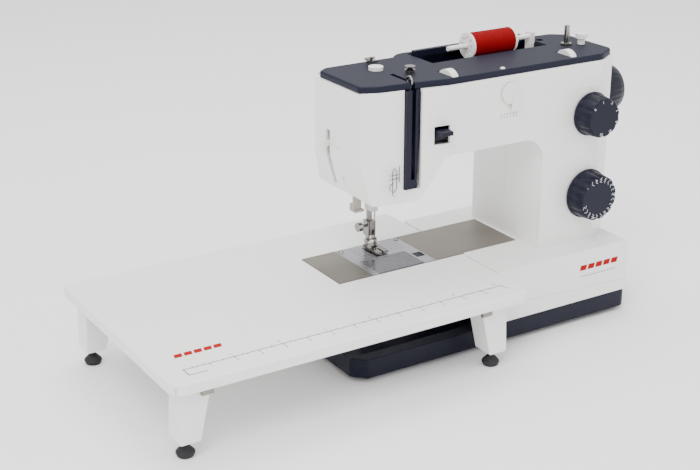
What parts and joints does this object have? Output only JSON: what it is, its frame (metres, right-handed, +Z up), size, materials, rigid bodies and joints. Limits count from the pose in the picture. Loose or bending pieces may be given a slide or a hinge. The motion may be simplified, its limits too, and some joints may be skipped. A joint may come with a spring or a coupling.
{
  "type": "sewing machine",
  "caption": "Free-arm household sewing machine with a built-in needle threader, standing in a detachable extension table on folding legs.",
  "frame": {"origin": "on the floor below the middle of the machine and its table", "axes": "+X towards the handwheel, -Y towards the person sewing, +Z up"},
  "size_m": [0.623, 0.2643, 0.3125],
  "materials": {
    "white_abs": "satin moulded",
    "navy_plastic": "satin moulded",
    "cover_plastic": "fine texture",
    "steel": "brushed",
    "chrome": "polished",
    "smoke": "clear moulded",
    "rubber": "moulded",
    "red_thread": "wound thread",
    "white_nylon": "moulded",
    "cast": "cast",
    "motor_black": "painted",
    "grey_nylon": "moulded"
  },
  "bodies": {
    "machine": {"base_tray": "navy_plastic", "rubber_feet": "rubber", "front_cover": "white_abs", "rear_cover": "white_abs", "face_cover": "white_abs", "thread_channel": "navy_plastic", "top_cover": "cover_plastic", "spool_tray": "navy_plastic", "free_arm_cover": "white_abs", "bed_plate": "steel", "needle_plate": "steel", "thread_cutter": "grey_nylon", "motor": "motor_black", "machine_frame": "cast", "hook_race": "motor_black", "thread_guides": "chrome", "spool_pin": "white_nylon", "winder_stop": "white_nylon", "power_inlet": "motor_black"},
    "bobbin_lid": {"bobbin_cover": "smoke"},
    "release": {"cover_release": "navy_plastic"},
    "drive": {"main_shaft": "steel", "handwheel": "navy_plastic"},
    "motor_rotor": {"motor_pulley": "steel"},
    "under_shaft": {"lower_shaft": "steel"},
    "hook": {"rotary_hook": "chrome"},
    "bobbin": {"bobbin": "smoke"},
    "feed": {"feed_dogs": "steel"},
    "needle_unit": {"needle_bar": "chrome", "needle_clamp": "chrome", "needle": "chrome"},
    "presser_unit": {"presser_bar": "chrome", "foot_holder": "chrome", "presser_foot": "chrome"},
    "lifter": {"presser_lifter": "grey_nylon"},
    "threader": {"threader_carrier": "grey_nylon", "threader_lever": "white_nylon"},
    "threader_head": {"threader_hook": "steel"},
    "take_up": {"take_up_lever": "chrome"},
    "length_dial": {"stitch_length_dial": "navy_plastic"},
    "pattern_selector": {"pattern_dial": "navy_plastic"},
    "reverse": {"reverse_lever": "navy_plastic"},
    "width_lever": {"stitch_width_lever": "white_nylon"},
    "tension_wheel": {"tension_dial": "white_nylon"},
    "balance_wheel": {"balance_dial": "white_nylon"},
    "pressure": {"pressure_button": "white_nylon"},
    "spool": {"thread_spool": "white_nylon", "spool_thread": "red_thread"},
    "winder": {"winder_spindle": "chrome"},
    "handle": {"carry_handle": "navy_plastic"},
    "table": {"extension_table": "white_abs", "leg_hinges": "steel"},
    "leg_front_left": {"leg_front_left": "white_abs"},
    "foot_front_left": {"foot_front_left": "rubber"},
    "leg_front_right": {"leg_front_right": "white_abs"},
    "foot_front_right": {"foot_front_right": "rubber"},
    "leg_back_left": {"leg_back_left": "white_abs"},
    "foot_back_left": {"foot_back_left": "rubber"},
    "leg_back_right": {"leg_back_right": "white_abs"},
    "foot_back_right": {"foot_back_right": "rubber"}
  },
  "joints": [
    {"name": "handwheel_turn", "type": "hinge", "parent": "machine", "child": "drive", "pos_m": [0.29, 0.018, 0.23], "axis": [1, 0, 0], "continuous": true},
    {"name": "motor_turn", "type": "hinge", "parent": "machine", "child": "motor_rotor", "pos_m": [0.22, 0.03, 0.12], "axis": [1, 0, 0], "continuous": true},
    {"name": "under_shaft_turn", "type": "hinge", "parent": "machine", "child": "under_shaft", "pos_m": [0.1, 0.0231, 0.062], "axis": [1, 0, 0], "continuous": true},
    {"name": "hook_turn", "type": "hinge", "parent": "machine", "child": "hook", "pos_m": [0.0104, 0.0141, 0.07], "axis": [0, 0, 1], "continuous": true},
    {"name": "bobbin_turn", "type": "hinge", "parent": "machine", "child": "bobbin", "pos_m": [0.0104, 0.0141, 0.075], "axis": [0, 0, 1], "continuous": true},
    {"name": "bobbin_cover_lift", "type": "slide", "parent": "machine", "child": "bobbin_lid", "axis": [0, 0, 1], "range_m": [0, 0.02]},
    {"name": "cover_release_slide", "type": "slide", "parent": "machine", "child": "release", "axis": [1, 0, 0], "range_m": [0, 0.0018], "stiffness_N_per_m": 60},
    {"name": "feed_drop", "type": "slide", "parent": "machine", "child": "feed", "axis": [0, 0, 1], "range_m": [-0.0022, 0]},
    {"name": "needle_stroke", "type": "slide", "parent": "machine", "child": "needle_unit", "axis": [0, 0, 1], "range_m": [-0.03, 0]},
    {"name": "take_up_swing", "type": "hinge", "parent": "machine", "child": "take_up", "pos_m": [0, 0.024, 0.262], "axis": [1, 0, 0], "range_deg": [0, 31]},
    {"name": "lifter_swing", "type": "hinge", "parent": "machine", "child": "lifter", "pos_m": [0.0169, 0.07, 0.192], "axis": [0, 1, 0], "range_deg": [-73, 0]},
    {"name": "presser_lift", "type": "slide", "parent": "machine", "child": "presser_unit", "axis": [0, 0, 1], "range_m": [0, 0.005]},
    {"name": "threader_drop", "type": "slide", "parent": "machine", "child": "threader", "axis": [0, 0, 1], "range_m": [-0.04, 0]},
    {"name": "threader_swing", "type": "hinge", "parent": "threader", "child": "threader_head", "pos_m": [0.0009, 0.0441, 0.137], "axis": [0, 0, 1], "range_deg": [0, 68]},
    {"name": "length_dial_turn", "type": "hinge", "parent": "machine", "child": "length_dial", "pos_m": [0.2222, -0.05, 0.2287], "axis": [0, 1, 0], "range_deg": [-150, 150]},
    {"name": "pattern_dial_turn", "type": "hinge", "parent": "machine", "child": "pattern_selector", "pos_m": [0.2222, -0.05, 0.139], "axis": [0, 1, 0], "continuous": true},
    {"name": "reverse_press", "type": "hinge", "parent": "machine", "child": "reverse", "pos_m": [0.0289, -0.037, 0.233], "axis": [1, 0, 0], "range_deg": [0, 10], "stiffness_Nm_per_rad": 0.3},
    {"name": "width_lever_slide", "type": "slide", "parent": "machine", "child": "width_lever", "axis": [1, 0, 0], "range_m": [-0.004, 0.004]},
    {"name": "tension_turn", "type": "hinge", "parent": "machine", "child": "tension_wheel", "pos_m": [0.0494, -0.029, 0.2825], "axis": [1, 0, 0], "range_deg": [-140, 140]},
    {"name": "balance_turn", "type": "hinge", "parent": "machine", "child": "balance_wheel", "pos_m": [0.2024, -0.029, 0.2825], "axis": [1, 0, 0], "range_deg": [-140, 140]},
    {"name": "pressure_press", "type": "slide", "parent": "machine", "child": "pressure", "axis": [0, 0, 1], "range_m": [-0.003, 0], "stiffness_N_per_m": 200},
    {"name": "spool_turn", "type": "hinge", "parent": "machine", "child": "spool", "pos_m": [0.15, 0.038, 0.297], "axis": [1, 0, 0], "continuous": true},
    {"name": "winder_turn", "type": "hinge", "parent": "machine", "child": "winder", "pos_m": [0.2294, 0.0041, 0.29], "axis": [0, 0, 1], "continuous": true},
    {"name": "handle_raise", "type": "slide", "parent": "machine", "child": "handle", "axis": [0, 0, 1], "range_m": [0, 0.022]},
    {"name": "table_slide_off", "type": "slide", "parent": "machine", "child": "table", "axis": [-1, 0, 0], "range_m": [0, 0.16]},
    {"name": "leg_fold_front_left", "type": "hinge", "parent": "table", "child": "leg_front_left", "pos_m": [-0.2736, -0.1069, 0.069], "axis": [0, 1, 0], "range_deg": [-90, 0]},
    {"name": "foot_screw_front_left", "type": "hinge", "parent": "leg_front_left", "child": "foot_front_left", "pos_m": [-0.2916, -0.1069, 0.012], "axis": [0, 0, 1], "continuous": true},
    {"name": "leg_fold_front_right", "type": "hinge", "parent": "table", "child": "leg_front_right", "pos_m": [0.0374, -0.1069, 0.069], "axis": [0, 1, 0], "range_deg": [0, 90]},
    {"name": "foot_screw_front_right", "type": "hinge", "parent": "leg_front_right", "child": "foot_front_right", "pos_m": [0.0554, -0.1069, 0.012], "axis": [0, 0, 1], "continuous": true},
    {"name": "leg_fold_back_left", "type": "hinge", "parent": "table", "child": "leg_back_left", "pos_m": [-0.2736, 0.1125, 0.069], "axis": [0, 1, 0], "range_deg": [-90, 0]},
    {"name": "foot_screw_back_left", "type": "hinge", "parent": "leg_back_left", "child": "foot_back_left", "pos_m": [-0.2916, 0.1125, 0.012], "axis": [0, 0, 1], "continuous": true},
    {"name": "leg_fold_back_right", "type": "hinge", "parent": "table", "child": "leg_back_right", "pos_m": [0.0374, 0.1125, 0.069], "axis": [0, 1, 0], "range_deg": [0, 90]},
    {"name": "foot_screw_back_right", "type": "hinge", "parent": "leg_back_right", "child": "foot_back_right", "pos_m": [0.0554, 0.1125, 0.012], "axis": [0, 0, 1], "continuous": true}
  ],
  "couplings": [
    {"joint": "motor_turn", "follows": "handwheel_turn", "ratio": 3.25},
    {"joint": "under_shaft_turn", "follows": "handwheel_turn", "ratio": 1},
    {"joint": "hook_turn", "follows": "handwheel_turn", "ratio": 2},
    {"joint": "take_up_swing", "follows": "needle_stroke", "rad_per_m": -18},
    {"joint": "lifter_swing", "follows": "presser_lift", "rad_per_m": -244.35},
    {"joint": "threader_swing", "follows": "threader_drop", "rad_per_m": -28.143}
  ]
}
